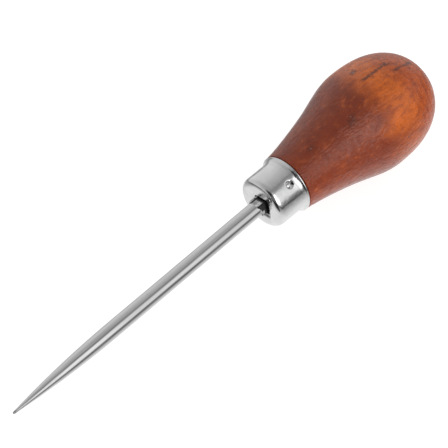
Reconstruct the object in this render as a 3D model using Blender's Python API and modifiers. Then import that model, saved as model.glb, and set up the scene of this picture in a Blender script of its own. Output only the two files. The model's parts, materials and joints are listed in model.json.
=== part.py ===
"""Scratch awl: a round steel blade with a square tang, a pressed steel ferrule, a turned
hardwood handle and the brad that keeps the ferrule from turning.

Each piece is drawn standing on its butt, point up, with z = 0 on the ferrule's flat face.
The empty "awl" then lays the whole tool down on z = 0, resting on its point and its belly.
Lengths are in metres and angles in radians.
"""

from math import atan2, cos, hypot, pi, radians, sin, sqrt

import bmesh
import bpy
from mathutils import Matrix, Vector

# Blade: a round rod, drawn to a point and forged into a square tang at its other end.
BLADE_LENGTH = 0.1024  # from the ferrule's face to the point
BLADE_RADIUS = 0.0025
POINT_LENGTH = 0.040  # the tapered stretch
NOSE_RADIUS = 0.00042  # where the taper ends and the very tip is ground round
NOSE_LENGTH = 0.0009
SHOULDER_HEIGHT = 0.0027  # the round rod ends this far in front of the face
SHOULDER_LENGTH = 0.0012
TANG_SIDE = 0.0045  # where it leaves the shoulder
TANG_END_SIDE = 0.0018
TANG_LENGTH = 0.042  # behind the face
CORE_SHARE = 0.9  # the rod runs into the tang at this share of the smaller one's radius

# Ferrule: a cap pressed from sheet, flared at its rear edge.
FERRULE_RADIUS = 0.0086
FERRULE_LENGTH = 0.0115
FERRULE_WALL = 0.0008
FERRULE_CORNER = 0.0021
FLARE_HEIGHT = 0.00105  # how far the rim stands out from the tube
FLARE_LENGTH = 0.0017
LIP_LENGTH = 0.0004
HOLE_PLAY = 0.00055  # between the tang and each side of the square hole in the face

# Handle: a turned pear, with a spigot that fills the ferrule.
HANDLE_RADIUS = 0.0172
FLANK_LENGTH = 0.0354  # from the ferrule's rim to the widest place
FLANK_SLOPE = 0.152  # rise per length just behind the rim
FLANK_EASE = (0.69, 0.26)  # how much of the flank each end's direction shapes
BUTT_LENGTH = 0.0231  # from the widest place to the end
BUTT_FULLNESS = 2.33  # 2 is an ellipse, and more is boxier
SHOULDER_ROUND = 0.0003  # broken edge where the wood meets the rim
SOCKET_MOUTH = 0.001  # the socket's cutter starts this far in front of the face

# Brad: driven through the ferrule into the spigot.
BRAD_TO_RIM = 0.0040  # from its axis to the ferrule's rear edge
BRAD_RADIUS = 0.00075
BRAD_HEAD_RADIUS = 0.00115
BRAD_DOME = 0.00045
BRAD_SINK = 0.00015  # how far the head's edge lies below the tube's surface
BRAD_EDGE = 0.0001  # height of the head's straight edge
BRAD_CONE = 0.0006  # from the head's edge to the foot of the cone under it
BRAD_POINT = 0.0008
BRAD_TO_SOCKET = 0.0007  # wood left between the brad's hole and the tang's socket

FIT = 0.0003  # gap between two pieces that touch
CONE_GROWTH = 0.4  # how far the brad's hole drops at its cone, for each length that it widens
POINT_GROWTH = 1.4  # the same at its point
ROLL = radians(-39)  # the brad, and one corner of the tang, point this way round from the top

ROUND_STEPS = 48
BLADE_STEPS = 32
BRAD_STEPS = 16
SHARP_ANGLE = radians(32)
MERGE = 0.000001

RIM_RADIUS = FERRULE_RADIUS + FLARE_HEIGHT
BRAD_Z = BRAD_TO_RIM - FERRULE_LENGTH
BELLY_Z = -(FERRULE_LENGTH + FLANK_LENGTH)
DIAGONAL = sqrt(2)


# ---------------------------------------------------------------- outlines: lists of (radius, z)


def quarter(centre, size, start, steps):
    """A quarter ellipse, turning down from the angle start."""
    angles = [start - pi / 2 * i / steps for i in range(steps + 1)]
    return [(centre[0] + size[0] * cos(a), centre[1] + size[1] * sin(a)) for a in angles]


def bezier(a, b, c, d, steps):
    points = []
    for i in range(steps + 1):
        t = i / steps
        weights = ((1 - t) ** 3, 3 * t * (1 - t) ** 2, 3 * t * t * (1 - t), t**3)
        points.append(tuple(sum(w * p[k] for w, p in zip(weights, (a, b, c, d))) for k in (0, 1)))
    return points


def inset(outline, distance):
    """The outline moved inwards by an even distance, from its axis point to its lower end."""
    normals = []
    for (r0, z0), (r1, z1) in zip(outline, outline[1:]):
        length = hypot(r1 - r0, z1 - z0)
        normals.append(Vector(((z0 - z1) / length, (r1 - r0) / length)))
    moved = []
    for i, (r, z) in enumerate(outline):
        before = normals[max(i - 1, 0)]
        after = normals[min(i, len(normals) - 1)]
        middle = (before + after).normalized()
        shift = distance / middle.dot(before)
        moved.append((max(r - shift * middle.x, 0.0), z - shift * middle.y))
    return moved


def rod_outline():
    """The blade's round part, from its tip down to inside the tang."""
    outline = quarter((0.0, BLADE_LENGTH - NOSE_LENGTH), (NOSE_RADIUS, NOSE_LENGTH), pi / 2, 3)
    steps = 9
    for i in range(1, steps + 1):
        t = i / steps
        radius = NOSE_RADIUS + (BLADE_RADIUS - NOSE_RADIUS) * (1 - (1 - t) ** 2)
        outline.append((radius, BLADE_LENGTH - NOSE_LENGTH - t * (POINT_LENGTH - NOSE_LENGTH)))
    inner = min(BLADE_RADIUS, TANG_SIDE / 2) * CORE_SHARE
    end = SHOULDER_HEIGHT - SHOULDER_LENGTH
    return outline + [(BLADE_RADIUS, SHOULDER_HEIGHT), (inner, end), (0.0, end)]


def tang_corner(z, grow=0.0):
    """Distance from the axis to the tang's corner at a height, with each side moved out by grow."""
    top = SHOULDER_HEIGHT - SHOULDER_LENGTH
    along = (top - z) / (top + TANG_LENGTH)
    return ((TANG_SIDE + (TANG_END_SIDE - TANG_SIDE) * along) / 2 + grow) * DIAGONAL


def tang_outline():
    """Half diagonals of the square tang: it grows out of the rod, then tapers into the wood."""
    top = SHOULDER_HEIGHT - SHOULDER_LENGTH
    start = SHOULDER_HEIGHT + SHOULDER_LENGTH / 2
    return [
        (0.0, start),
        (BLADE_RADIUS * CORE_SHARE, start),
        (tang_corner(top), top),
        (tang_corner(-TANG_LENGTH), -TANG_LENGTH),
        (0.0, -TANG_LENGTH - TANG_END_SIDE),
    ]


def socket_outline():
    """The hole that the tang fills, open at the spigot's end."""
    top = SOCKET_MOUTH
    bottom = -TANG_LENGTH - FIT
    return [
        (0.0, top),
        (tang_corner(top, FIT), top),
        (tang_corner(bottom, FIT), bottom),
        (0.0, bottom - TANG_END_SIDE - FIT),
    ]


def ferrule_outline():
    """The ferrule's outer side, from the middle of its face down to its rear edge."""
    corner = (FERRULE_RADIUS - FERRULE_CORNER, -FERRULE_CORNER)
    outline = [(0.0, 0.0)] + quarter(corner, (FERRULE_CORNER, FERRULE_CORNER), pi / 2, 6)
    flare_top = -(FERRULE_LENGTH - LIP_LENGTH - FLARE_LENGTH)
    steps = 6
    for i in range(steps + 1):
        t = i / steps
        swell = t * t * (3 - 2 * t)
        outline.append((FERRULE_RADIUS + FLARE_HEIGHT * swell, flare_top - FLARE_LENGTH * t))
    return outline + [(RIM_RADIUS, -FERRULE_LENGTH)]


def handle_outline():
    """The handle, from the middle of its spigot down to its butt."""
    spigot = inset(ferrule_outline(), FERRULE_WALL + FIT)
    seat = -(FERRULE_LENGTH + FIT)
    shoulder = [
        (spigot[-1][0], seat),
        (RIM_RADIUS - SHOULDER_ROUND, seat),
    ]
    start = (RIM_RADIUS, seat - SHOULDER_ROUND)
    flank = start[1] - BELLY_Z
    flank_curve = bezier(
        start,
        (start[0] + FLANK_SLOPE * FLANK_EASE[0] * flank, start[1] - FLANK_EASE[0] * flank),
        (HANDLE_RADIUS, BELLY_Z + FLANK_EASE[1] * flank),
        (HANDLE_RADIUS, BELLY_Z),
        14,
    )
    butt = []
    steps = 14
    for i in range(1, steps):
        turn = pi / 2 * i / steps
        radius = HANDLE_RADIUS * cos(turn) ** (2 / BUTT_FULLNESS)
        butt.append((radius, BELLY_Z - BUTT_LENGTH * sin(turn) ** (2 / BUTT_FULLNESS)))
    butt.append((0.0, BELLY_Z - BUTT_LENGTH))
    return spigot + shoulder + flank_curve + butt


def brad_outline(grow=0.0, stretch=0.0):
    """The brad along its own axis: dome up, z = 0 at its head's edge, grown evenly for its hole."""
    shank = brad_length() - BRAD_POINT
    outline = [(0.0, BRAD_DOME + stretch)]
    if stretch:
        outline.append((BRAD_HEAD_RADIUS + grow, BRAD_DOME + stretch))
    else:
        outline = quarter((0.0, 0.0), (BRAD_HEAD_RADIUS, BRAD_DOME), pi / 2, 4)
    return outline + [
        (BRAD_HEAD_RADIUS + grow, -BRAD_EDGE - grow * CONE_GROWTH),
        (BRAD_RADIUS + grow, -BRAD_CONE - grow * CONE_GROWTH),
        (BRAD_RADIUS + grow, -shank - grow * CONE_GROWTH),
        (0.0, -brad_length() - grow * POINT_GROWTH),
    ]


def brad_length():
    """Head's edge to point: the brad stops short of the tang's socket."""
    socket = tang_corner(BRAD_Z, FIT)
    return FERRULE_RADIUS - BRAD_SINK - socket - BRAD_TO_SOCKET - POINT_GROWTH * FIT


# ---------------------------------------------------------------- building


def new_collection(name):
    made = bpy.data.collections.new(name)
    bpy.context.scene.collection.children.link(made)
    return made


def new_material(name, colour, roughness, metallic):
    made = bpy.data.materials.new(name)
    made.use_nodes = True
    shader = made.node_tree.nodes["Principled BSDF"]
    shader.inputs["Base Color"].default_value = (*colour, 1.0)
    shader.inputs["Roughness"].default_value = roughness
    shader.inputs["Metallic"].default_value = metallic
    made.diffuse_color = (*colour, 1.0)
    return made


def turned(name, outline, steps, collection):
    """An object whose outline a Screw modifier turns about local z."""
    mesh = bpy.data.meshes.new(name)
    mesh.from_pydata([(r, 0.0, z) for r, z in outline], [(i, i + 1) for i in range(len(outline) - 1)], [])
    made = bpy.data.objects.new(name, mesh)
    collection.objects.link(made)
    screw = made.modifiers.new("turn", "SCREW")
    screw.steps = steps
    screw.render_steps = steps
    screw.use_merge_vertices = True
    screw.merge_threshold = MERGE
    return made


def cutter(made):
    made.hide_render = True
    made.display_type = "WIRE"
    return made


def square_punch(name, side, height, collection):
    """A square prism across z = 0, one corner towards ROLL."""
    mesh = bpy.data.meshes.new(name)
    made = bpy.data.objects.new(name, mesh)
    collection.objects.link(made)
    shape = bmesh.new()
    bmesh.ops.create_cube(shape, size=1.0, matrix=Matrix.Diagonal((side, side, height, 1.0)))
    shape.to_mesh(mesh)
    shape.free()
    made.rotation_euler.z = ROLL + pi / 4
    return cutter(made)


def combine(target, other, operation):
    boolean = target.modifiers.new(other.name, "BOOLEAN")
    boolean.operation = operation
    boolean.solver = "EXACT"
    boolean.object = other


def settle(made, material):
    """Turns the modifiers into plain mesh, shaded smooth between its sharp edges."""
    graph = bpy.context.evaluated_depsgraph_get()
    mesh = bpy.data.meshes.new_from_object(made.evaluated_get(graph))
    mesh.name = made.name
    mesh.materials.clear()
    mesh.materials.append(material)
    mesh.shade_smooth()
    mesh.set_sharp_from_angle(angle=SHARP_ANGLE)
    made.modifiers.clear()
    made.data = mesh


def brad_place():
    """Matrix that stands an outline on the ferrule's side, pointing out along ROLL."""
    head = FERRULE_RADIUS - BRAD_SINK
    turn = Matrix.Rotation(ROLL, 4, "Z") @ Matrix.Translation((head, 0.0, BRAD_Z))
    return turn @ Matrix.Rotation(pi / 2, 4, "Y")


def make_blade(parts, cutters, steel):
    blade = turned("blade", rod_outline(), BLADE_STEPS, parts)
    tang = cutter(turned("tang_shape", tang_outline(), 4, cutters))
    tang.rotation_euler.z = ROLL
    combine(blade, tang, "UNION")
    settle(blade, steel)
    return blade


def make_ferrule(parts, cutters, chrome):
    ferrule = turned("ferrule", ferrule_outline(), ROUND_STEPS, parts)
    shell = ferrule.modifiers.new("sheet", "SOLIDIFY")
    shell.thickness = FERRULE_WALL
    shell.offset = -1.0
    shell.use_even_offset = True
    hole_side = tang_corner(0.0) * DIAGONAL + 2 * HOLE_PLAY
    combine(ferrule, square_punch("face_punch", hole_side, 4 * FERRULE_WALL, cutters), "DIFFERENCE")
    combine(ferrule, bpy.data.objects["brad_hole"], "DIFFERENCE")
    settle(ferrule, chrome)
    return ferrule


def make_handle(parts, cutters, wood):
    handle = turned("handle", handle_outline(), ROUND_STEPS, parts)
    socket = cutter(turned("tang_socket", socket_outline(), 4, cutters))
    socket.rotation_euler.z = ROLL
    combine(handle, socket, "DIFFERENCE")
    combine(handle, bpy.data.objects["brad_hole"], "DIFFERENCE")
    settle(handle, wood)
    return handle


def make_brad(parts, steel):
    brad = turned("brad", brad_outline(), BRAD_STEPS, parts)
    settle(brad, steel)
    brad.matrix_world = brad_place()
    return brad


def lay_down(pieces):
    """Hangs the pieces on an empty and lays it on z = 0, over the middle of the tool's length."""
    nose = (NOSE_RADIUS, BLADE_LENGTH - NOSE_LENGTH)
    lean = max(atan2(r - nose[0], nose[1] - z) for r, z in handle_outline() if z <= -FERRULE_LENGTH)
    both = rod_outline() + handle_outline()
    lowest = max(r * cos(lean) + z * sin(lean) for r, z in both)
    ends = [z * cos(lean) + side * r * sin(lean) for r, z in both for side in (-1, 1)]
    awl = bpy.data.objects.new("awl", None)
    awl.empty_display_size = FERRULE_RADIUS
    awl.rotation_euler.y = -(pi / 2 + lean)
    awl.location = ((max(ends) + min(ends)) / 2, 0.0, lowest)
    pieces[0].users_collection[0].objects.link(awl)
    for piece in pieces:
        piece.parent = awl


def main():
    for old in list(bpy.data.objects):
        bpy.data.objects.remove(old, do_unlink=True)
    parts = new_collection("scratch_awl")
    cutters = new_collection("cutters")
    steel = new_material("polished_steel", (0.55, 0.55, 0.56), 0.22, 1.0)
    chrome = new_material("plated_steel", (0.72, 0.72, 0.73), 0.14, 1.0)
    wood = new_material("stained_wood", (0.30, 0.065, 0.026), 0.32, 0.0)

    brad_hole = cutter(turned("brad_hole", brad_outline(FIT, 0.001), BRAD_STEPS, cutters))
    brad_hole.matrix_world = brad_place()
    lay_down(
        [
            make_blade(parts, cutters, steel),
            make_ferrule(parts, cutters, chrome),
            make_handle(parts, cutters, wood),
            make_brad(parts, steel),
        ]
    )
    cutters.hide_render = True


main()
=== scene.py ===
"""Looks of the scratch awl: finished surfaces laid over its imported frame, a stage and a camera.

Every piece is made in the awl's own coordinates, standing point up with z = 0 on the ferrule's
face, in millimetres, and hangs on a matrix that lays the tool down as the frame has it.
"""

import json
from math import acos, asin, atan2, cos, hypot, pi, radians, sin

import bpy
import numpy as np
from mathutils import Matrix, Vector, noise


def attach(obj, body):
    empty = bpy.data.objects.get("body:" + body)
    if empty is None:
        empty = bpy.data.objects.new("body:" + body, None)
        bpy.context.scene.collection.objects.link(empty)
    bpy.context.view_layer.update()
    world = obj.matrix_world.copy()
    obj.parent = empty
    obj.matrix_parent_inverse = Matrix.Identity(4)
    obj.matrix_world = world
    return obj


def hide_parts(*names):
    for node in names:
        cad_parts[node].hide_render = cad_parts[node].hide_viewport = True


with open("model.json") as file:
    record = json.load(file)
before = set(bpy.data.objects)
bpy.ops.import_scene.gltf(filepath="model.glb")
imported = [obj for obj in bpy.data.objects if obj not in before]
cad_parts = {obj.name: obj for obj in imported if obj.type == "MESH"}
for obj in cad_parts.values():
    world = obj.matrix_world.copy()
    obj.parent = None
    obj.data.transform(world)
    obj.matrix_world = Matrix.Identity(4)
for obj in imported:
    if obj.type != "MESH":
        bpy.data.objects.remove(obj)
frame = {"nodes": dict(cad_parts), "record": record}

bl_info = {
    "name": "Scratch Awl",
    "version": (1, 0, 0),
    "blender": (4, 5, 0),
    "location": "View3D > Sidebar > Awl",
    "description": "Builds a scratch awl with a polished blade, a pressed ferrule and a stained handle",
    "category": "Add Mesh",
}

MM = 0.001
FACE_MOUNT_OUT = 4.8  # the record's mount lies this far above the axis
SECTORS = 256
FINE_SECTORS = 384
BRAD_SECTORS = 48
FIT = 0.3  # the gap that stands in for each press fit
RIM_EDGE = 0.3  # radius of the ferrule's rear edge
ROUND = 2.0  # fullness of a round ring
SQUARE = 14.0  # fullness of a square ring with eased corners
BLADE_ASKEW = 0.0041  # radians, because the blade was driven in a little askew
HANDLE_ASKEW = -0.0097
FLOOR_SIZE = 6.0  # metres


# ---------------------------------------------------------------- the frame's own coordinates


def standing_matrix():
    """Lays the standing awl down as the frame has it: local z runs to the point, local x is up."""
    mount = next(m for m in frame["record"]["mounts"] if m["name"] == "ferrule_face")
    along = Vector(mount["axis"]).normalized()
    across = Vector((0.0, 1.0, 0.0))
    up = across.cross(along).normalized()
    origin = Vector(mount["pos_m"]) - up * FACE_MOUNT_OUT * MM
    turn = Matrix((up, across, along)).transposed().to_4x4()
    return Matrix.Translation(origin) @ turn @ Matrix.Scale(MM, 4)


STANDING = standing_matrix()
TOOL_AXIS = -Vector(STANDING.col[2][:3]).normalized()  # from the point to the butt


def swung(angle):
    """The standing matrix with the tool swung flat about the middle of the ferrule's face."""
    pivot = Matrix.Translation(STANDING.translation)
    return pivot @ Matrix.Rotation(angle, 4, "Z") @ pivot.inverted() @ STANDING


BLADE_STANDING = swung(BLADE_ASKEW)
HANDLE_STANDING = swung(HANDLE_ASKEW)


def local_points(node):
    """Each vertex of a frame node in the standing awl's coordinates, in millimetres."""
    back = STANDING.inverted()
    return [back @ v.co for v in frame["nodes"][node].data.vertices]


def turned_points(node):
    """(radius, height) of each vertex of a frame node."""
    return np.array([(hypot(p.x, p.y), p.z) for p in local_points(node)])


def brad_roll():
    """Angle of the brad round the tool, from local x."""
    points = local_points("brad")
    return atan2(sum(p.y for p in points), sum(p.x for p in points))


BLADE = turned_points("blade")
FERRULE = turned_points("ferrule")
HANDLE = turned_points("handle")
BRAD = turned_points("brad")
TIP_HEIGHT = float(BLADE[:, 1].max())
SHANK_RADIUS = float(BLADE[BLADE[:, 1] > TIP_HEIGHT / 3, 0].max())
TANG_DEPTH = float(-BLADE[:, 1].min())
RIM_RADIUS = float(FERRULE[:, 0].max())
FERRULE_DEPTH = float(-FERRULE[:, 1].min())
TUBE_RADIUS = float(FERRULE[FERRULE[:, 1] > -FERRULE_DEPTH / 2, 0].max())
BELLY_RADIUS = float(HANDLE[:, 0].max())
BUTT_DEPTH = float(-HANDLE[:, 1].min())
BELLY_DEPTH = float(-HANDLE[HANDLE[:, 0].argmax(), 1])
BRAD_DEPTH = float(-(BRAD[:, 1].max() + BRAD[:, 1].min()) / 2)
BRAD_LENGTH = float(TUBE_RADIUS - BRAD[:, 0].min())
ROLL = brad_roll()


# ---------------------------------------------------------------- settings a user would change


def length(name, description, default):
    """A size in millimetres."""
    return bpy.props.FloatProperty(name=name, description=description, default=default, precision=3)


def share(name, description, default):
    return bpy.props.FloatProperty(
        name=name, description=description, default=default, min=0.0, max=1.0, subtype="FACTOR"
    )


def plain(name, description, default):
    return bpy.props.FloatProperty(name=name, description=description, default=default)


def angular(name, description, degrees):
    return bpy.props.FloatProperty(
        name=name, description=description, default=radians(degrees), subtype="ANGLE"
    )


def colour(name, description, default):
    return bpy.props.FloatVectorProperty(
        name=name, description=description, default=default, size=3, min=0.0, max=1.0, subtype="COLOR"
    )


class AwlBladeSettings(bpy.types.PropertyGroup):
    radius: length("Shank Radius", "Radius of the round shank", SHANK_RADIUS)
    point: length("Point Length", "Length of the tapered stretch", 40.0)
    nose: length("Nose Radius", "Radius where the very tip is ground round", 0.42)
    nose_length: length("Nose Length", "Length of the ground tip", 0.9)
    shoulder: length("Shoulder Height", "Where the round shank ends, in front of the ferrule", 2.7)
    shoulder_length: length("Shoulder Length", "How long the round shank takes to turn square", 1.2)
    tang: length("Tang Side", "Side of the square tang at the shoulder", 4.5)
    neck: length("Neck", "How much each side of the tang draws in before the hole", 0.05)
    tang_end: length("Tang End", "Side of the square tang at its end", 1.8)
    steel: colour("Steel", "Colour of the polished steel", (0.66, 0.66, 0.665))
    roughness: share("Roughness", "Roughness of the polish", 0.13)


class AwlFerruleSettings(bpy.types.PropertyGroup):
    radius: length("Tube Radius", "Outer radius of the tube", TUBE_RADIUS)
    wall: length("Wall", "Thickness of the sheet", 0.8)
    corner: length("Corner", "Outer radius between face and tube", 2.1)
    flare: length("Flare Length", "Length over which the rear edge swells", 2.6)
    lip: length("Lip Length", "Straight stretch behind the flare", 0.4)
    hole: length("Hole Side", "Side of the square hole in the face", 5.3)
    hole_shift: length("Hole Shift", "How far the hole was punched off centre", 0.25)
    press: length("Lip Press", "How far the edge of the hole is pressed in", 0.5)
    dimple_width: length("Dimple Width", "Width of the sunk ring round the brad", 3.1)
    dimple_depth: length("Dimple Depth", "How far the tube is driven in round the brad", 0.9)
    plating: colour("Plating", "Colour of the bright plating", (0.70, 0.70, 0.705))
    roughness: share("Roughness", "Roughness of the plating", 0.14)


class AwlHandleSettings(bpy.types.PropertyGroup):
    radius: length("Belly Radius", "Radius at the widest place", BELLY_RADIUS)
    slope: plain("Flank Slope", "Rise per length behind the rim", 0.152)
    fullness: plain("Butt Fullness", "2 is an ellipse, more is boxier", 2.33)
    dark: colour("Dark Stain", "Colour where the stain is deepest", (0.190, 0.026, 0.007))
    middle: colour("Middle Stain", "Colour of most of the flank", (0.26, 0.040, 0.009))
    amber: colour("Amber Stain", "Colour where the stain is thin", (0.73, 0.155, 0.015))
    butt: colour("Butt Stain", "Colour of the butt's end", (0.48, 0.076, 0.008))
    thin_from: length("Thin From", "How far behind the face the stain turns thin", 42.8)
    roughness: share("Roughness", "Roughness of the varnish", 0.17)


class AwlBradSettings(bpy.types.PropertyGroup):
    radius: length("Shank Radius", "Radius of the brad's shank", 0.75)
    head: length("Head Radius", "Radius of the domed head", 0.8)
    dome: length("Dome Height", "Height of the head's dome", 0.4)
    steel: colour("Steel", "Colour of the brad", (0.68, 0.68, 0.68))


class AwlStageSettings(bpy.types.PropertyGroup):
    tilt: angular("Tilt", "How far the point leans towards the camera", 26.0)
    slant: angular("Slant", "Angle of the tool across the frame", 39.8)
    distance: bpy.props.FloatProperty(
        name="Distance", description="Camera to tool", default=0.8258, unit="LENGTH"
    )
    lens: plain("Lens", "Focal length in millimetres", 223.95)
    aim: length("Aim Height", "Height on the tool's axis that the camera looks at", 13.3)
    aim_side: length("Aim Side", "How far the aim lies beside the axis", 2.66)
    floor: colour("Floor", "Colour of the floor", (0.4, 0.4, 0.4))
    glow: share("Floor Glow", "Light that the floor gives off", 0.85)
    figure_side: angular("Figure Side", "Where the dark figure before the tent stands", 202.0)


# ---------------------------------------------------------------- outlines and their rings


def quarter(centre, size, start, steps):
    """A quarter ellipse, turning down from the angle start."""
    angles = [start - pi / 2 * i / steps for i in range(steps + 1)]
    return [(centre[0] + size[0] * cos(a), centre[1] + size[1] * sin(a)) for a in angles]


def bezier(a, b, c, d, steps):
    points = []
    for i in range(steps + 1):
        t = i / steps
        weights = ((1 - t) ** 3, 3 * t * (1 - t) ** 2, 3 * t * t * (1 - t), t**3)
        points.append(tuple(sum(w * p[k] for w, p in zip(weights, (a, b, c, d))) for k in (0, 1)))
    return points


def smooth(t):
    t = min(max(t, 0.0), 1.0)
    return t * t * (3 - 2 * t)


def between(a, b, steps):
    """Points from a to b, both included."""
    return [tuple(a[k] + (b[k] - a[k]) * i / steps for k in range(len(a))) for i in range(steps + 1)]


def inset(outline, distance):
    """The outline moved inwards by an even distance."""
    moved = []
    last = len(outline) - 1
    for i, (r, z) in enumerate(outline):
        before = outline[max(i - 1, 0)]
        after = outline[min(i + 1, last)]
        direction = Vector((after[0] - before[0], after[1] - before[1])).normalized()
        moved.append((r + distance * direction.y, z - distance * direction.x))
    return moved


# A ring is (radius, height, fullness).


def rounds(outline):
    return [(r, z, ROUND) for r, z in outline]


def squares(outline):
    return [(r, z, SQUARE) for r, z in outline]


def squared(t):
    """Fullness of a ring on the way from round at 0 to square at 1."""
    return ROUND + (SQUARE - ROUND) * t**2


def ring_factor(angle, fullness):
    """Radius of a superellipse round: 2 is a circle and more is a square with its sides at 1."""
    a = abs(cos(angle)) ** fullness + abs(sin(angle)) ** fullness
    return a ** (-1.0 / fullness)


# ---------------------------------------------------------------- meshes


def lathe(name, rings, sectors, standing, closed=False, shape=None):
    """Skins the rings, squared towards ROLL. Rings of radius 0 become one point. shape may move points."""
    points = []
    starts = []
    for radius, height, fullness in rings:
        starts.append(len(points))
        if radius <= 0.0:
            points.append(Vector((0.0, 0.0, height)))
            continue
        for k in range(sectors):
            angle = 2 * pi * k / sectors
            reach = radius * ring_factor(angle - ROLL - pi / 4, fullness)
            points.append(Vector((reach * cos(angle), reach * sin(angle), height)))
    if shape:
        points = [shape(p) for p in points]
    counts = [1 if ring[0] <= 0.0 else sectors for ring in rings]
    pairs = list(zip(range(len(rings)), range(1, len(rings))))
    if closed:
        pairs.append((len(rings) - 1, 0))
    faces = []
    for i, j in pairs:
        for k in range(sectors):
            n = (k + 1) % sectors
            upper = [starts[i]] if counts[i] == 1 else [starts[i] + k, starts[i] + n]
            lower = [starts[j]] if counts[j] == 1 else [starts[j] + n, starts[j] + k]
            if len(upper) + len(lower) > 2:
                faces.append((upper + lower)[::-1])
    mesh = bpy.data.meshes.new(name)
    mesh.from_pydata(points, [], faces)
    mesh.validate()
    mesh.shade_smooth()
    made = bpy.data.objects.new(name, mesh)
    bpy.context.scene.collection.objects.link(made)
    made.matrix_world = standing
    return made


def mount_piece(piece, node, material):
    """Gives a finished piece its material and hangs it on the frame in place of its node."""
    piece.data.materials.append(material)
    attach(piece, "root")
    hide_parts(node)


# ---------------------------------------------------------------- shader nodes


def put(tree, kind, inputs=None, **settings):
    """Adds a node. An input is a value or another node's output."""
    made = tree.nodes.new("ShaderNode" + kind)
    for key, value in settings.items():
        setattr(made, key, value)
    for key, value in (inputs or {}).items():
        if isinstance(value, bpy.types.NodeSocket):
            tree.links.new(value, made.inputs[key])
        else:
            made.inputs[key].default_value = value
    return made


def maths(tree, operation, *values):
    made = put(tree, "Math", dict(enumerate(values)), operation=operation)
    return made.outputs[0]


def remap(tree, value, low, high, to_low=0.0, to_high=1.0, ease="SMOOTHSTEP"):
    inputs = {"Value": value, "From Min": low, "From Max": high, "To Min": to_low, "To Max": to_high}
    return put(tree, "MapRange", inputs, interpolation_type=ease).outputs["Result"]


def mixed(tree, share_of_second, first, second):
    """A mix of two colours."""
    made = put(tree, "Mix", data_type="RGBA")
    for key, value in ((0, share_of_second), (6, first), (7, second)):
        if isinstance(value, bpy.types.NodeSocket):
            tree.links.new(value, made.inputs[key])
        elif key == 0:
            made.inputs[key].default_value = value
        else:
            made.inputs[key].default_value = (*value, 1.0)
    return made.outputs[2]


def opposite(tree, value):
    return maths(tree, "SUBTRACT", 1.0, value)


def part(tree, vector, direction):
    """How far a vector reaches in a direction."""
    made = put(tree, "VectorMath", {0: vector, 1: direction}, operation="DOT_PRODUCT")
    return made.outputs["Value"]


def seeded_noise(tree, place, seed, scale, detail):
    inputs = {"Vector": place, "W": seed, "Scale": scale, "Detail": detail}
    return put(tree, "TexNoise", inputs, noise_dimensions="4D").outputs["Fac"]


def new_group(name, inputs, output):
    """An empty node group with float inputs and a Place vector, and its two end nodes."""
    tree = bpy.data.node_groups.new(name, "ShaderNodeTree")
    tree.interface.new_socket(name="Place", in_out="INPUT", socket_type="NodeSocketVector")
    for key, default in inputs.items():
        made = tree.interface.new_socket(name=key, in_out="INPUT", socket_type="NodeSocketFloat")
        made.default_value = default
    tree.interface.new_socket(name=output, in_out="OUTPUT", socket_type="NodeSocketFloat")
    start = tree.nodes.new("NodeGroupInput")
    end = tree.nodes.new("NodeGroupOutput")
    return tree, start.outputs, end.inputs


def fibre_group():
    """Noise drawn out along the tool: wood fibres, polishing lines."""
    name = "Fibre"
    if name in bpy.data.node_groups:
        return bpy.data.node_groups[name]
    defaults = {"Across": 1.0, "Along": 10.0, "Detail": 3.0, "Seed": 0.0}
    tree, start, end = new_group(name, defaults, "Value")
    across = maths(tree, "DIVIDE", 1.0, start["Across"])
    along = maths(tree, "DIVIDE", 1.0, start["Along"])
    scale = put(tree, "CombineXYZ", {0: across, 1: across, 2: along}).outputs[0]
    stretched = put(tree, "VectorMath", {0: start["Place"], 1: scale}, operation="MULTIPLY").outputs[0]
    grain = seeded_noise(tree, stretched, start["Seed"], 1.0, start["Detail"])
    tree.links.new(grain, end["Value"])
    return tree


def blotch_group():
    """Soft-edged spots of one size: pores, pits, mottling."""
    name = "Blotch"
    if name in bpy.data.node_groups:
        return bpy.data.node_groups[name]
    defaults = {"Size": 1.0, "Low": 0.5, "High": 0.6, "Detail": 2.0, "Seed": 0.0}
    tree, start, end = new_group(name, defaults, "Mask")
    scale = maths(tree, "DIVIDE", 1.0, start["Size"])
    grain = seeded_noise(tree, start["Place"], start["Seed"], scale, start["Detail"])
    tree.links.new(remap(tree, grain, start["Low"], start["High"]), end["Mask"])
    return tree


def streak_group():
    """One lengthwise flaw at a height and a roll: a crack, a knot or a smudge, with ragged edges."""
    name = "Streak"
    if name in bpy.data.node_groups:
        return bpy.data.node_groups[name]
    defaults = {"Height": 0.0, "Roll": 0.0, "Length": 1.0, "Width": 1.0, "Ragged": 0.5, "Soft": 0.5}
    tree, start, end = new_group(name, defaults, "Mask")
    back = maths(tree, "MULTIPLY", start["Roll"], -1.0)
    turned = put(
        tree, "VectorRotate", {"Vector": start["Place"], "Angle": back}, rotation_type="Z_AXIS"
    ).outputs[0]
    parts = put(tree, "SeparateXYZ", {0: turned}).outputs
    past = maths(tree, "ABSOLUTE", maths(tree, "SUBTRACT", parts[2], start["Height"]))
    past = maths(tree, "MAXIMUM", maths(tree, "SUBTRACT", past, start["Length"]), 0.0)
    squares_sum = maths(tree, "ADD", maths(tree, "POWER", past, 2.0), maths(tree, "POWER", parts[1], 2.0))
    reach = maths(tree, "SQRT", squares_sum)
    wobble = put(tree, "TexNoise", {"Vector": start["Place"], "Scale": 1.3, "Detail": 3.0}).outputs["Fac"]
    wobble = maths(tree, "MULTIPLY", maths(tree, "SUBTRACT", wobble, 0.5), start["Ragged"])
    reach = maths(tree, "ADD", maths(tree, "DIVIDE", reach, start["Width"]), wobble)
    mask = opposite(tree, remap(tree, reach, opposite(tree, start["Soft"]), 1.0))
    front = maths(tree, "GREATER_THAN", parts[0], 0.0)
    tree.links.new(maths(tree, "MULTIPLY", mask, front), end["Mask"])
    return tree


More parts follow.
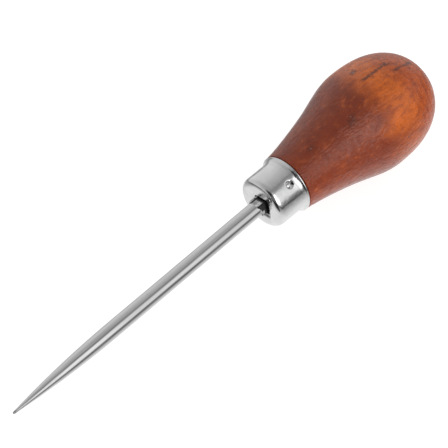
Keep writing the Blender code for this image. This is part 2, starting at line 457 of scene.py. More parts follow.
def effect(tree, group, place, **values):
    """A group's output with these values. An underscore in a name stands for a space."""
    made = tree.nodes.new("ShaderNodeGroup")
    made.node_tree = group
    tree.links.new(place, made.inputs["Place"])
    for key, value in values.items():
        made.inputs[key.replace("_", " ")].default_value = value
    return made.outputs[0]


def new_material(name, metallic, roughness, specular=0.5):
    """A material, its tree, its Principled BSDF and its place on the piece in millimetres."""
    material = bpy.data.materials.new(name)
    material.use_nodes = True
    tree = material.node_tree
    shader = tree.nodes["Principled BSDF"]
    shader.inputs["Metallic"].default_value = metallic
    shader.inputs["Roughness"].default_value = roughness
    shader.inputs["Specular IOR Level"].default_value = specular
    place = put(tree, "TexCoord").outputs["Object"]
    return material, tree, shader, place


def bump(tree, shader, height, distance):
    made = put(tree, "Bump", {"Height": height, "Distance": distance, "Strength": 1.0})
    tree.links.new(made.outputs["Normal"], shader.inputs["Normal"])


LINE_STRETCH = 40  # length of a polishing line over its width
LINE_DEPTH = 0.00003  # relief of a polishing line, for each unit of its width
STEEL_SHADE = 0.86  # brightness of the darker polishing lines
STAIN_SHADE = 0.6  # brightness of small stains and pits


def shade(base, brightness):
    return [c * brightness for c in base]


def steel_material(name, base, roughness, lines, seed):
    """Bright steel with polishing lines, faint haze and small stains."""
    material, tree, shader, place = new_material(name, 1.0, roughness)
    line = effect(tree, fibre_group(), place, Across=lines, Along=lines * LINE_STRETCH, Detail=2.0, Seed=seed)
    haze = effect(tree, blotch_group(), place, Size=6.0, Low=0.35, High=0.7, Seed=seed + 1)
    stain = effect(tree, blotch_group(), place, Size=0.9, Low=0.62, High=0.72, Seed=seed + 2)
    tone = mixed(tree, remap(tree, line, 0.3, 0.7), shade(base, STEEL_SHADE), base)
    tone = mixed(tree, maths(tree, "MULTIPLY", stain, 0.25), tone, shade(base, STAIN_SHADE))
    tree.links.new(tone, shader.inputs["Base Color"])
    rough = maths(tree, "ADD", roughness * 0.8, maths(tree, "MULTIPLY", haze, roughness * 0.4))
    rough = maths(tree, "ADD", rough, maths(tree, "MULTIPLY", line, roughness * 0.3))
    tree.links.new(rough, shader.inputs["Roughness"])
    bump(tree, shader, line, LINE_DEPTH * lines)
    return material, tree, shader, place


FORGE_SCALE = (0.065, 0.063, 0.062)
SCALE_ROUGHNESS = 0.3  # how much rougher the scale is than the polish
# Painted highlight: white steel for a glint on a facet of the tang.
GLINT_WHITE = (1.0, 1.0, 1.0)
BURNT_STEEL = (0.16, 0.16, 0.16)
BURNT_FROM = 1.8  # how far from the tip the burnt grey starts
BURNT_TO = 0.4  # and where it is full
SCALE_DROP = 1.9  # how much lower the scale's edge lies a quarter turn below the brad
SCALE_SOFTNESS = 0.15


def scale_and_glint_masks(tree, place, settings):
    """(forge scale, painted highlight of white steel inside it) round the shoulder, where z = 0 is the
    ferrule's face.
    """
    height = part(tree, place, Vector((0.0, 0.0, 1.0)))
    side = part(tree, place, Vector((sin(ROLL), -cos(ROLL), 0.0)))
    edge = maths(tree, "ADD", height, remap(tree, side, 0.0, 3.0, 0.0, SCALE_DROP, "LINEAR"))
    ragged = put(tree, "TexNoise", {"Vector": place, "Scale": 1.1, "Detail": 3.0}).outputs["Fac"]
    edge = maths(tree, "ADD", edge, maths(tree, "MULTIPLY", maths(tree, "SUBTRACT", ragged, 0.5), 0.5))
    top = settings.shoulder
    scaled = remap(tree, edge, top - SCALE_SOFTNESS, top + SCALE_SOFTNESS, 1.0, 0.0)
    # Two faces of the square are rubbed bare in patches; in part of them the steel is painted white as a
    # highlight.
    bare = maths(tree, "MULTIPLY", remap(tree, side, -0.3, -0.5), remap(tree, height, 0.15, 0.45))
    bare = maths(tree, "MULTIPLY", bare, remap(tree, side, -2.3, -2.1))
    bare = maths(tree, "MAXIMUM", bare, remap(tree, side, -2.5, -2.7))
    painted_glint = maths(tree, "MULTIPLY", bare, remap(tree, side, -1.4, -1.1))
    ground = maths(tree, "MULTIPLY", remap(tree, side, 1.6, 1.9), remap(tree, height, 0.5, 0.8))
    bare = maths(tree, "MAXIMUM", bare, ground)
    return maths(tree, "MULTIPLY", scaled, opposite(tree, bare)), maths(tree, "MULTIPLY", painted_glint, scaled)


def blade_material(settings):
    """Polished steel with black forge scale where it is drawn down to its tang, a painted highlight on the
    tang, and a burnt tip.
    """
    base = list(settings.steel)
    material, tree, shader, place = steel_material("polished_steel", base, settings.roughness, 0.42, 11.0)
    scale, painted_glint = scale_and_glint_masks(tree, place, settings)
    polish = shader.inputs["Base Color"].links[0].from_socket
    # Painted highlight: white steel where a facet of the tang catches a glint.
    tone = mixed(tree, painted_glint, polish, GLINT_WHITE)
    tone = mixed(tree, scale, tone, FORGE_SCALE)
    height = part(tree, place, Vector((0.0, 0.0, 1.0)))
    burnt = remap(tree, height, TIP_HEIGHT - BURNT_FROM, TIP_HEIGHT - BURNT_TO, 0.0, 0.75)
    tree.links.new(mixed(tree, burnt, tone, BURNT_STEEL), shader.inputs["Base Color"])
    rough = shader.inputs["Roughness"].links[0].from_socket
    rough = maths(tree, "ADD", rough, maths(tree, "MULTIPLY", scale, SCALE_ROUGHNESS))
    tree.links.new(rough, shader.inputs["Roughness"])
    return material


# Painted shade in the dimple on the handle's side of the brad: distance behind the brad, roll from it.
DIMPLE_SHADE = ((1.15, -3.5), (1.3, 0.0), (1.15, 3.5))
# Colour of that painted shade.
SHADE_BLACK = (0.02, 0.02, 0.02)
HAZE_SHADE = 0.94
PEEL_DEPTH = 0.00003


def plating_material(settings):
    """Bright plating over pressed sheet: slight orange peel, haze, a few pits, painted shade in the dimple by
    the brad.
    """
    material, tree, shader, place = new_material("bright_plating", 1.0, settings.roughness)
    base = list(settings.plating)
    peel = effect(tree, blotch_group(), place, Size=1.4, Low=0.2, High=0.8, Detail=3.0, Seed=4.0)
    haze = effect(tree, blotch_group(), place, Size=3.0, Low=0.35, High=0.7, Seed=5.0)
    pits = effect(tree, blotch_group(), place, Size=0.5, Low=0.66, High=0.74, Seed=6.0)
    tone = mixed(tree, haze, base, shade(base, HAZE_SHADE))
    tone = mixed(tree, maths(tree, "MULTIPLY", pits, 0.3), tone, shade(base, STAIN_SHADE))
    # Painted shade: near-black dabs in the dimple's wall behind the brad.
    for past, roll in DIMPLE_SHADE:
        spot = {"Height": -BRAD_DEPTH - past, "Roll": ROLL + radians(roll)}
        shade_spot = effect(tree, streak_group(), place, **spot, Length=0.0, Width=0.5, Soft=0.6)
        tone = mixed(tree, maths(tree, "MULTIPLY", shade_spot, 0.95), tone, SHADE_BLACK)
    tree.links.new(tone, shader.inputs["Base Color"])
    haziness = maths(tree, "MULTIPLY", haze, settings.roughness * 0.5)
    rough = maths(tree, "ADD", settings.roughness * 0.8, haziness)
    tree.links.new(rough, shader.inputs["Roughness"])
    bump(tree, shader, peel, PEEL_DEPTH)
    return material


# Flaws in the wood: height, roll from the brad, half length, half width, ragged, soft, depth of colour.
FLAWS = (
    (-51.3, 38.4, 4.9, 0.95, 1.9, 1.0, 0.7),
    (-48.3, 37.8, 0.9, 1.1, 1.5, 0.9, 0.35),
    (-55.6, 41.2, 0.9, 0.8, 1.5, 0.9, 0.5),
    (-56.6, 37.4, 1.0, 0.7, 1.5, 0.9, 0.5),
    (-60.0, 26.0, 3.6, 0.75, 1.9, 1.0, 0.6),
    (-63.4, 26.6, 0.5, 1.2, 1.5, 0.9, 0.6),
    (-57.2, 25.2, 0.3, 0.8, 1.5, 0.9, 0.45),
    (-47.1, 55.4, 0.3, 1.5, 1.4, 0.9, 0.75),
    (-48.1, 60.0, 0.2, 0.6, 1.4, 0.9, 0.6),
    (-47.7, 64.0, 0.2, 0.6, 1.4, 0.9, 0.6),
    (-47.3, 69.0, 0.2, 0.6, 1.4, 0.9, 0.6),
    (-55.1, 54.8, 0.9, 0.5, 1.4, 0.9, 0.4),
    (-34.8, 16.4, 0.5, 1.9, 1.4, 1.0, 0.45),
    (-34.1, 10.8, 0.7, 1.6, 1.4, 1.0, 0.5),
    (-19.8, 23.6, 0.5, 1.9, 1.4, 1.0, 0.38),
    (-48.3, -41.0, 0.8, 0.6, 1.4, 0.9, 0.5),
    (-47.2, -42.5, 0.5, 0.6, 1.4, 0.9, 0.35),
    (-49.4, -62.0, 1.5, 0.5, 1.4, 0.9, 0.55),
    (-47.6, -60.0, 0.4, 0.7, 1.4, 0.9, 0.4),
    (-43.0, 150.0, 3.0, 0.8, 1.4, 0.9, 0.5),
    (-30.0, -155.0, 1.0, 1.6, 1.4, 0.9, 0.5),
)
# Pale specks where the varnish filled a pore: height, roll from the brad, half width.
SPECKS = (
    (-47.1, 55.0, 0.45),
    (-35.0, 18.0, 0.26),
    (-19.8, 23.6, 0.28),
)


FLAW = (0.06, 0.014, 0.010)
SPECK = (0.32, 0.26, 0.25)
RED_FIGURE = (0.45, 0.085, 0.014)
GOLD_CLOUD = (0.80, 0.19, 0.04)
# Painted shade: near black where the hole in the face shows the spigot inside the ferrule.
HOLLOW_SHADE = (0.03, 0.027, 0.026)  # inside the ferrule, where the hole shows the spigot
GRAIN_DEPTH = 0.0002
END_FROM, END_TO = -51.5, -58.0  # heights between which the stain turns to the butt's
TONGUE_ROLL = 20.0  # degrees below the brad where the amber reaches furthest forward
TONGUE = 3.0  # how much further forward it reaches there


def stain_masks(tree, place, settings):
    """(light side, shaded side, thin stain, butt's end) of the handle, with wandering edges."""
    broad = effect(tree, fibre_group(), place, Across=5.0, Along=16.0, Detail=3.0, Seed=2.0)
    wander = maths(tree, "MULTIPLY", maths(tree, "SUBTRACT", broad, 0.5), 10.0)
    turned = put(tree, "VectorRotate", {"Vector": place, "Angle": -ROLL}, rotation_type="Z_AXIS").outputs[0]
    parts = put(tree, "SeparateXYZ", {0: turned}).outputs
    roll = maths(tree, "DEGREES", maths(tree, "ARCTAN2", parts[1], parts[0]))
    off_tongue = maths(tree, "ABSOLUTE", maths(tree, "ADD", roll, TONGUE_ROLL))
    tongue = remap(tree, off_tongue, 3.0, 18.0, TONGUE, 0.0)
    past = maths(tree, "ADD", maths(tree, "ADD", parts[2], settings.thin_from), wander)
    thin = remap(tree, maths(tree, "SUBTRACT", past, tongue), 3.5, -7.0)
    side = maths(tree, "ADD", parts[1], maths(tree, "MULTIPLY", wander, 0.5))
    height = maths(tree, "ADD", parts[2], maths(tree, "MULTIPLY", wander, 0.3))
    light = remap(tree, side, 4.0, -7.0)
    shaded = remap(tree, side, -5.0, -12.0, 0.0, 0.55)
    return light, shaded, thin, remap(tree, height, END_FROM, END_TO)


def flawed(tree, place, tone):
    """The tone with the cracks, knots and specks of this piece of wood."""
    for height, roll, reach, width, rough, soft, weight in FLAWS:
        spot = {"Height": height, "Roll": ROLL + radians(roll), "Length": reach, "Width": width}
        mask = effect(tree, streak_group(), place, **spot, Ragged=rough, Soft=soft)
        tone = mixed(tree, maths(tree, "MULTIPLY", mask, weight), tone, FLAW)
    for height, roll, width in SPECKS:
        spot = {"Height": height, "Roll": ROLL + radians(roll), "Length": 0.0, "Width": width}
        mask = effect(tree, streak_group(), place, **spot, Soft=0.7)
        tone = mixed(tree, maths(tree, "MULTIPLY", mask, 0.6), tone, SPECK)
    return tone


def wood_material(settings):
    """Stained hardwood under gloss varnish."""
    material, tree, shader, place = new_material("stained_hardwood", 0.0, settings.roughness, 0.45)
    fibre = effect(tree, fibre_group(), place, Across=0.35, Along=7.0, Detail=4.0, Seed=1.0)
    figure = effect(tree, blotch_group(), place, Size=4.5, Low=0.3, High=0.7, Detail=4.0, Seed=3.0)
    mottle = effect(tree, blotch_group(), place, Size=1.3, Low=0.35, High=0.68, Detail=3.0, Seed=7.0)
    pores = effect(tree, blotch_group(), place, Size=0.3, Low=0.58, High=0.7, Detail=1.0, Seed=8.0)
    cloud = effect(tree, fibre_group(), place, Across=1.6, Along=2.6, Detail=6.0, Seed=9.0)
    fleck = effect(tree, fibre_group(), place, Across=0.55, Along=0.9, Detail=4.0, Seed=10.0)
    brushed = effect(tree, fibre_group(), place, Across=0.7, Along=5.0, Detail=4.0, Seed=12.0)
    light, shaded, thin, end = stain_masks(tree, place, settings)
    dark = settings.dark
    waves = {"Vector": place, "Scale": 0.11, "Distortion": 7.0, "Detail": 4.0}
    rings = put(tree, "TexWave", waves, bands_direction="Z").outputs["Fac"]
    rings = maths(tree, "MULTIPLY", remap(tree, rings, 0.6, 1.0), maths(tree, "MULTIPLY", end, 0.3))

    tone = mixed(tree, light, dark, settings.middle)
    tone = mixed(tree, thin, tone, settings.amber)
    tone = mixed(tree, shaded, tone, dark)
    tone = mixed(tree, maths(tree, "MULTIPLY", end, 0.8), tone, settings.butt)
    tone = mixed(tree, maths(tree, "MULTIPLY", figure, 0.3), tone, RED_FIGURE)
    tone = mixed(tree, remap(tree, cloud, 0.42, 0.75, 0.0, 0.55), tone, dark)
    tone = mixed(tree, remap(tree, cloud, 0.45, 0.25, 0.0, 0.3), tone, GOLD_CLOUD)
    tone = mixed(tree, remap(tree, fleck, 0.5, 0.8, 0.0, 0.4), tone, dark)
    tone = mixed(tree, remap(tree, fibre, 0.4, 0.75, 0.0, 0.22), tone, dark)
    tone = mixed(tree, rings, tone, dark)
    tone = mixed(tree, maths(tree, "MULTIPLY", pores, 0.3), tone, shade(dark, 0.5))
    tone = flawed(tree, place, tone)
    height = put(tree, "SeparateXYZ", {0: place}).outputs[2]
    # Painted shade on the front of the spigot and socket inside the ferrule.
    hollow_shade = remap(tree, height, -FERRULE_DEPTH + 4.0, -FERRULE_DEPTH + 6.0)
    tree.links.new(mixed(tree, hollow_shade, tone, HOLLOW_SHADE), shader.inputs["Base Color"])

    patchy = remap(tree, brushed, 0.40, 0.64, 0.0, 0.7)
    sheen = maths(tree, "ADD", patchy, maths(tree, "MULTIPLY", mottle, 0.4))
    sheen = maths(tree, "MULTIPLY", maths(tree, "ADD", sheen, 0.75), settings.roughness)
    tree.links.new(sheen, shader.inputs["Roughness"])
    relief = maths(tree, "ADD", maths(tree, "MULTIPLY", fibre, 0.5), maths(tree, "MULTIPLY", mottle, 0.3))
    bump(tree, shader, maths(tree, "ADD", relief, brushed), GRAIN_DEPTH)
    return material


# ---------------------------------------------------------------- pieces


NOSE_STEPS = 10
POINT_STEPS = 60
SHANK_STEPS = 30
SHOULDER_STEPS = 12
NECK_DEPTH = 0.5  # how far behind the ferrule's face the tang stops drawing in
CORNER_STEPS = 20
TUBE_STEPS = 44
FLARE_STEPS = 24
FACE_STEPS = 18
SECOND_SWELL = 0.12  # depth of the broad hollow round the dimple, over the dimple's
FLANK_STEPS = 90
BUTT_STEPS = 70
SOCKET_STEPS = 20
MOUTH_STEPS = 8
SWELLS = ((0.11, 0.07), (0.4, 0.02))  # the handle's unevenness: waves per millimetre, height
SWELL_INWARDS = 0.05  # brings the unevenness inside the turned size
SWELL_FADE = 4.0  # from the handle's ends
HEAD_STEPS = 16
BRAD_FINISH = (0.14, 0.12, 21.0)  # roughness, width of the polishing lines, seed


class AWL_OT_blade(bpy.types.Operator):
    """Round blade with a long point, forged square where it enters the ferrule"""

    bl_idname = "awl.blade"
    bl_label = "Blade"

    def execute(self, context):
        s = context.scene.awl_blade
        straight = TIP_HEIGHT - s.point
        nose_base = TIP_HEIGHT - s.nose_length
        rings = rounds(quarter((0.0, nose_base), (s.nose, s.nose_length), pi / 2, NOSE_STEPS))
        rings[0] = (0.0, TIP_HEIGHT, ROUND)
        for i in range(1, POINT_STEPS + 1):
            t = i / POINT_STEPS
            radius = s.nose + (s.radius - s.nose) * (1 - (1 - t) ** 2)
            rings.append((radius, nose_base - t * (nose_base - straight), ROUND))
        rings += rounds(between((s.radius, straight), (s.radius, s.shoulder), SHANK_STEPS))[1:]
        for i in range(1, SHOULDER_STEPS + 1):
            t = i / SHOULDER_STEPS
            half = s.radius + (s.tang / 2 - s.radius) * smooth(t)
            rings.append((half, s.shoulder - s.shoulder_length * t, squared(smooth(t))))
        top = (s.tang / 2, s.shoulder - s.shoulder_length)
        neck = (s.tang / 2 - s.neck, -NECK_DEPTH)
        bottom = (s.tang_end / 2, -TANG_DEPTH + s.tang_end)
        rings += squares(between(top, neck, 8)[1:] + between(neck, bottom, 24)[1:])
        rings.append((0.0, -TANG_DEPTH, ROUND))
        blade = lathe("blade_forging", rings, SECTORS, BLADE_STANDING)
        mount_piece(blade, "blade", blade_material(s))
        return {"FINISHED"}


def ferrule_outline(s):
    """Outer side of the ferrule from the edge of its flat face to its rear edge."""
    outline = quarter((s.radius - s.corner, -s.corner), (s.corner, s.corner), pi / 2, CORNER_STEPS)
    flare_top = -(FERRULE_DEPTH - s.lip - s.flare)
    outline += between((s.radius, -s.corner), (s.radius, flare_top), TUBE_STEPS)[1:]
    for i in range(1, FLARE_STEPS + 1):
        t = i / FLARE_STEPS
        rise = 0.45 * t**2 + 0.55 * t**5
        outline.append((s.radius + (RIM_RADIUS - s.radius) * rise, flare_top - s.flare * t))
    return outline


def ferrule_face(s):
    """Rings of the flat face, from the pressed-in edge of its square hole out to the round corner."""
    flat = s.radius - s.corner
    face = []
    for i in range(FACE_STEPS + 1):
        t = i / FACE_STEPS
        pulled = s.press * (1 - smooth(t * 3.0))
        face.append((s.hole / 2 + (flat - s.hole / 2) * t, -pulled, squared(1 - smooth(t))))
    return face


def pressed(s):
    """Shape of the pressing: a hole a little off centre, and a dimple round the brad."""
    out = Vector((cos(ROLL), sin(ROLL), 0.0))
    around = Vector((-out.y, out.x, 0.0))
    flat = s.radius - s.corner

    def move(p):
        radius = hypot(p.x, p.y)
        if radius < flat:
            return p - around * s.hole_shift * (1 - smooth((radius - s.hole / 2) / (flat - s.hole / 2)))
        if radius < s.radius - s.wall - 1.0 or p.dot(out) < 0:
            return p
        away = hypot(p.dot(around), p.z + BRAD_DEPTH)
        sink = s.dimple_depth * (1 - smooth(away / (s.dimple_width / 2)))
        sink += SECOND_SWELL * s.dimple_depth * (1 - smooth(away / s.dimple_width))
        return p - out * sink

    return move


class AWL_OT_ferrule(bpy.types.Operator):
    """Pressed ferrule with a square hole, a flared rim and a dimple round the brad"""

    bl_idname = "awl.ferrule"
    bl_label = "Ferrule"

    def execute(self, context):
        s = context.scene.awl_ferrule
        outer = ferrule_outline(s)
        inner = inset(outer, s.wall)
        face = ferrule_face(s)
        under = [(r, z - s.wall, full) for r, z, full in reversed(face)]
        corner = (RIM_RADIUS - RIM_EDGE, -FERRULE_DEPTH + RIM_EDGE)
        edge = quarter(corner, (RIM_EDGE, RIM_EDGE), 0.0, 6)
        edge += [(RIM_RADIUS - s.wall, -FERRULE_DEPTH + height) for height in (0.1, 0.4)]
        rings = face[:-1] + rounds(outer + edge) + rounds(reversed(inner[:-2])) + under[1:]
        ferrule = lathe(
            "pressed_ferrule", rings, FINE_SECTORS, HANDLE_STANDING, closed=True, shape=pressed(s)
        )
        mount_piece(ferrule, "ferrule", plating_material(s))
        return {"FINISHED"}


def handle_outline(s, spigot):
    """Outer side of the handle, from the spigot's front over the shoulder and the belly to the butt."""
    seat = -(FERRULE_DEPTH + FIT)
    start = (RIM_RADIUS, seat - RIM_EDGE)
    flank = start[1] + BELLY_DEPTH
    shoulder = [(spigot[-1][0], seat), (RIM_RADIUS - RIM_EDGE, seat), (RIM_RADIUS - 0.08, seat - 0.08)]
    outline = spigot + shoulder
    outline += bezier(
        start,
        (start[0] + s.slope * 0.69 * flank, start[1] - 0.69 * flank),
        (s.radius, -BELLY_DEPTH + 0.26 * flank),
        (s.radius, -BELLY_DEPTH),
        FLANK_STEPS,
    )
    butt = BUTT_DEPTH - BELLY_DEPTH
    for i in range(1, BUTT_STEPS + 1):
        turn = pi / 2 * i / BUTT_STEPS
        radius = s.radius * cos(turn) ** (2 / s.fullness) if i < BUTT_STEPS else 0.0
        outline.append((radius, -BELLY_DEPTH - butt * sin(turn) ** (2 / s.fullness)))
    return outline


def socket_rings(b, spigot):
    """Rings of the square socket, from its bottom up to the spigot's front and out to its edge."""
    radius, mouth = spigot[0]
    half = b.tang / 2 + FIT
    rings = [(0.0, -TANG_DEPTH - 0.5, ROUND)]
    rings += squares(between((b.tang_end / 2 + FIT, -TANG_DEPTH), (half, mouth), SOCKET_STEPS))
    for i in range(1, MOUTH_STEPS):
        t = i / MOUTH_STEPS
        rings.append((half + (radius - half) * t, mouth, squared(1 - t)))
    return rings


def uneven(p):
    """The slight unevenness that turning and sanding leave on the handle."""
    seat = -(FERRULE_DEPTH + FIT)
    radius = hypot(p.x, p.y)
    if p.z > seat or radius < RIM_RADIUS:
        return p
    swell = sum(noise.noise(p * waves) * height for waves, height in SWELLS) - SWELL_INWARDS
    fade = smooth((seat - p.z) / SWELL_FADE) * smooth((p.z + BUTT_DEPTH) / SWELL_FADE)
    return Vector((p.x, p.y, 0.0)) * (1 + swell * fade / radius) + Vector((0.0, 0.0, p.z))


class AWL_OT_handle(bpy.types.Operator):
    """Turned handle with its spigot and the socket for the tang"""

    bl_idname = "awl.handle"
    bl_label = "Handle"

    def execute(self, context):
        s = context.scene.awl_handle
        f = context.scene.awl_ferrule
        spigot = inset(ferrule_outline(f), f.wall + FIT)[:-4]
        rings = socket_rings(context.scene.awl_blade, spigot) + rounds(handle_outline(s, spigot))
        handle = lathe("turned_handle", rings, SECTORS, HANDLE_STANDING, shape=uneven)
        mount_piece(handle, "handle", wood_material(s))
        return {"FINISHED"}


class AWL_OT_brad(bpy.types.Operator):
    """Brad with a small domed head in the ferrule's dimple"""

    bl_idname = "awl.brad"
    bl_label = "Brad"

    def execute(self, context):
        s = context.scene.awl_brad
        f = context.scene.awl_ferrule
        rings = rounds(quarter((0.0, 0.0), (s.head, s.dome), pi / 2, HEAD_STEPS))
        rings[0] = (0.0, s.dome, ROUND)
        rings += rounds([(s.head, -0.08), (s.radius, -0.55), (s.radius, 0.8 - BRAD_LENGTH)])
        rings += rounds([(s.radius * 0.5, 0.35 - BRAD_LENGTH), (0.0, f.dimple_depth - BRAD_LENGTH)])
        brad = lathe("brad_pin", rings, BRAD_SECTORS, HANDLE_STANDING)
        seat = Matrix.Translation((f.radius - f.dimple_depth, 0.0, -BRAD_DEPTH))
        place = Matrix.Rotation(ROLL, 4, "Z") @ seat @ Matrix.Rotation(pi / 2, 4, "Y")
        brad.matrix_world = HANDLE_STANDING @ place
        material = steel_material("brad_steel", list(s.steel), *BRAD_FINISH)[0]
        mount_piece(brad, "brad", material)
        return {"FINISHED"}


# ---------------------------------------------------------------- stage


def camera_axes(s):
    """(right, up, back) of a level camera that sees the tool at its slant, the point leaning nearer."""
    # Where the butt lies from the point, in the camera's own axes.
    rightwards = cos(s.tilt) * cos(s.slant)
    upwards = cos(s.tilt) * sin(s.slant)
    away = sin(s.tilt)
    # The camera looks down by the angle that gives the tool its real rise over the floor.
    steepness = pi / 2 - atan2(away, upwards) - asin(TOOL_AXIS.z / hypot(upwards, away))
    side = -acos(min(rightwards / hypot(TOOL_AXIS.x, TOOL_AXIS.y), 1.0))
    right = Vector((cos(side), sin(side), 0.0))
    back = Vector((sin(side) * cos(steepness), -cos(side) * cos(steepness), sin(steepness)))
    return right, back.cross(right), back


def below_tool(up, back):
    """Unit vector square to the tool and to the line of sight, downwards in the view."""
    below = back.cross(TOOL_AXIS).normalized()
    return -below if below.dot(up) > 0 else below


# Brightness of the tent round the tool's own axis, at turns from straight towards the camera.
TENT = (
    (-180, 0.95), (-116, 0.93), (-93, 0.89), (-75, 0.82), (-60, 0.71), (-48, 0.63), (-35, 0.56),
    (-24, 0.46), (-13, 0.31), (-2, 0.33), (30, 0.26), (180, 0.26),
)
# Extra brightness of the long window in the tent.
WINDOW = (
    (-180, 0.0), (-12, 0.0), (1, 0.4), (16, 0.7), (32, 0.78), (44, 0.55), (55, 0.14), (63, 0.0),
    (180, 0.0),
)
# How much brighter the window is along the tool, from the point's side to the butt's side.
WINDOW_GAIN = (
    (-1.0, 2.7), (-0.1, 2.7), (0.0, 2.0), (0.1, 1.2), (0.16, 1.0), (0.2, 1.05), (0.28, 1.35),
    (0.36, 1.3), (0.43, 1.0), (1.0, 1.0),
)
# Brightness of the paper by the drop of the line of sight, from straight down to the horizon.
PAPER = (
    (-1.0, 1.06), (-0.8, 1.0), (-0.56, 0.72), (-0.37, 0.47), (-0.26, 0.35), (-0.18, 0.29), (0.0, 0.29),
)
BRIGHTEST = 4.0  # the highest brightness that a curve may give
HORIZON = -0.15  # height of the dark edge between paper and tent
HORIZON_DARK = (-0.77, 0.64, 0.0)  # the side on which that edge is darkest
HORIZON_OPEN = (0.46, 0.87, 0.0)  # the side on which there is none


def brightness_curve(tree, value, low, high, stops):
    """A smooth curve through the stops, over values from low to high."""
    share_of = maths(tree, "DIVIDE", maths(tree, "SUBTRACT", value, low), high - low)
    curve = put(tree, "FloatCurve", {"Value": share_of})
    line = curve.mapping.curves[0]
    points = [((at - low) / (high - low), level) for at, level in stops]
    curve.mapping.clip_max_y = BRIGHTEST
    line.points[0].location = points[0]
    line.points[-1].location = points[-1]
    for point in points[1:-1]:
        line.points.new(*point)
    curve.mapping.update()
    return curve.outputs[0]


def tent_level(tree, sight, s):
    """Brightness of the tent and its window above, and of the paper below."""
    _, up, back = camera_axes(s)
    near = (back - TOOL_AXIS * back.dot(TOOL_AXIS)).normalized()
    below = below_tool(up, back)
    turn = maths(tree, "DEGREES", maths(tree, "ARCTAN2", part(tree, sight, below), part(tree, sight, near)))
    height = part(tree, sight, Vector((0.0, 0.0, 1.0)))
    gain = brightness_curve(tree, part(tree, sight, TOOL_AXIS), -1.0, 1.0, WINDOW_GAIN)
    glow = maths(tree, "MULTIPLY", brightness_curve(tree, turn, -180.0, 180.0, WINDOW), gain)
    tent = maths(tree, "ADD", brightness_curve(tree, turn, -180.0, 180.0, TENT), glow)
    paper = brightness_curve(tree, maths(tree, "MINIMUM", height, 0.0), -1.0, 0.0, PAPER)
    above = remap(tree, height, HORIZON - 0.05, HORIZON + 0.05)
    return put(tree, "Mix", {0: above, 2: paper, 3: tent}).outputs[0]


def horizon_mask(tree, sight, height):
    """Dark edge between the paper and the tent."""
    near_edge = maths(tree, "ABSOLUTE", maths(tree, "SUBTRACT", height, HORIZON))
    depth = remap(tree, part(tree, sight, Vector(HORIZON_DARK)), -0.2, 0.6, 0.55, 0.9)
    edge = maths(tree, "MULTIPLY", remap(tree, near_edge, 0.04, 0.1, 1.0, 0.0), depth)
    hidden = remap(tree, part(tree, sight, Vector(HORIZON_OPEN)), 0.5, 0.85)
    return maths(tree, "MULTIPLY", edge, opposite(tree, hidden))


def figure_mask(tree, sight, height, s):
    """Dark figure standing in the tent's opening, wider above its waist."""
    facing = Vector((cos(s.figure_side), sin(s.figure_side), 0.0))
    aside = part(tree, sight, Vector((-facing.y, facing.x, 0.0)))
    aside = maths(tree, "DIVIDE", aside, maths(tree, "MAXIMUM", part(tree, sight, facing), 0.001))
    centre = remap(tree, height, 0.2, 0.4, 0.05, -0.05)
    reach = remap(tree, height, 0.2, 0.4, 0.36, 0.45)
    aside = maths(tree, "SUBTRACT", maths(tree, "ABSOLUTE", maths(tree, "SUBTRACT", aside, centre)), reach)
    figure = remap(tree, aside, -0.06, 0.06, 1.0, 0.0)
    figure = maths(tree, "MULTIPLY", figure, remap(tree, height, -0.58, -0.48))
    return maths(tree, "MULTIPLY", figure, remap(tree, height, 0.66, 0.76, 0.92, 0.0))


def tent_world(s):
    """White straight to the camera, and to everything else a light tent with a dark figure, over paper."""
    world = bpy.data.worlds.new("light_tent")
    bpy.context.scene.world = world
    world.use_nodes = True
    tree = world.node_tree
    background = tree.nodes["Background"]
    background.inputs["Color"].default_value = (1.0, 1.0, 1.0, 1.0)
    sight = put(tree, "TexCoord").outputs["Generated"]
    height = part(tree, sight, Vector((0.0, 0.0, 1.0)))
    level = tent_level(tree, sight, s)
    level = maths(tree, "MULTIPLY", level, opposite(tree, horizon_mask(tree, sight, height)))
    level = maths(tree, "MULTIPLY", level, opposite(tree, figure_mask(tree, sight, height, s)))
    seen = put(tree, "LightPath").outputs["Is Camera Ray"]
    level = put(tree, "Mix", {0: seen, 2: level, 3: 1.0}).outputs[0]
    tree.links.new(level, background.inputs["Strength"])


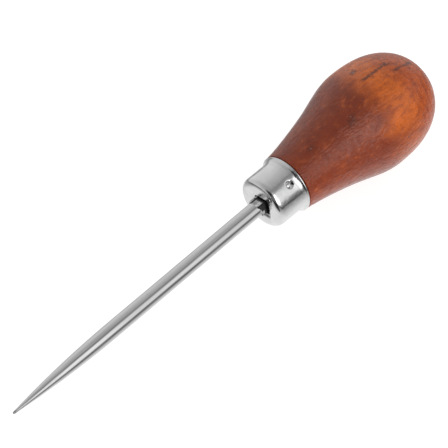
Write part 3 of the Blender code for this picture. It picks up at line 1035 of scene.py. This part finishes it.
class AWL_OT_stage(bpy.types.Operator):
    """Pale floor, light tent and camera"""

    bl_idname = "awl.stage"
    bl_label = "Stage"

    def execute(self, context):
        s = context.scene.awl_stage
        bpy.ops.mesh.primitive_plane_add(size=FLOOR_SIZE)
        floor = context.object
        floor.name = "floor"
        floor.visible_glossy = False
        paper, _, shader, _ = new_material("paper", 0.0, 0.9, 0.0)
        shader.inputs["Base Color"].default_value = (*s.floor, 1.0)
        shader.inputs["Emission Color"].default_value = (1.0, 1.0, 1.0, 1.0)
        shader.inputs["Emission Strength"].default_value = s.glow
        floor.data.materials.append(paper)
        tent_world(s)

        right, up, back = camera_axes(s)
        aim = STANDING @ Vector((0.0, 0.0, s.aim)) - below_tool(up, back) * s.aim_side * MM
        lens = bpy.data.cameras.new("camera")
        lens.lens = s.lens
        lens.clip_start = 0.01
        camera = bpy.data.objects.new("camera", lens)
        context.scene.collection.objects.link(camera)
        turn = Matrix((right, up, back)).transposed().to_4x4()
        camera.matrix_world = Matrix.Translation(aim + back * s.distance) @ turn
        context.scene.camera = camera
        context.scene.view_settings.view_transform = "Standard"
        return {"FINISHED"}


# ---------------------------------------------------------------- panel and registration


class AWL_PT_panel(bpy.types.Panel):
    """Lists the awl's pieces"""

    bl_label = "Scratch Awl"
    bl_idname = "AWL_PT_panel"
    bl_space_type = "VIEW_3D"
    bl_region_type = "UI"
    bl_category = "Awl"

    def draw(self, context):
        for kind in OPERATORS:
            self.layout.operator(kind.bl_idname)


SETTINGS = {
    "awl_blade": AwlBladeSettings,
    "awl_ferrule": AwlFerruleSettings,
    "awl_handle": AwlHandleSettings,
    "awl_brad": AwlBradSettings,
    "awl_stage": AwlStageSettings,
}
OPERATORS = (AWL_OT_stage, AWL_OT_blade, AWL_OT_ferrule, AWL_OT_handle, AWL_OT_brad)


def register():
    for name, group in SETTINGS.items():
        bpy.utils.register_class(group)
        setattr(bpy.types.Scene, name, bpy.props.PointerProperty(type=group))
    for kind in (*OPERATORS, AWL_PT_panel):
        bpy.utils.register_class(kind)


def unregister():
    for kind in reversed((*OPERATORS, AWL_PT_panel)):
        bpy.utils.unregister_class(kind)
    for name, group in reversed(SETTINGS.items()):
        delattr(bpy.types.Scene, name)
        bpy.utils.unregister_class(group)


def main():
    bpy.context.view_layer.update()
    register()
    bpy.ops.awl.stage()
    bpy.ops.awl.blade()
    bpy.ops.awl.ferrule()
    bpy.ops.awl.handle()
    bpy.ops.awl.brad()


if __name__ == "__main__":
    main()
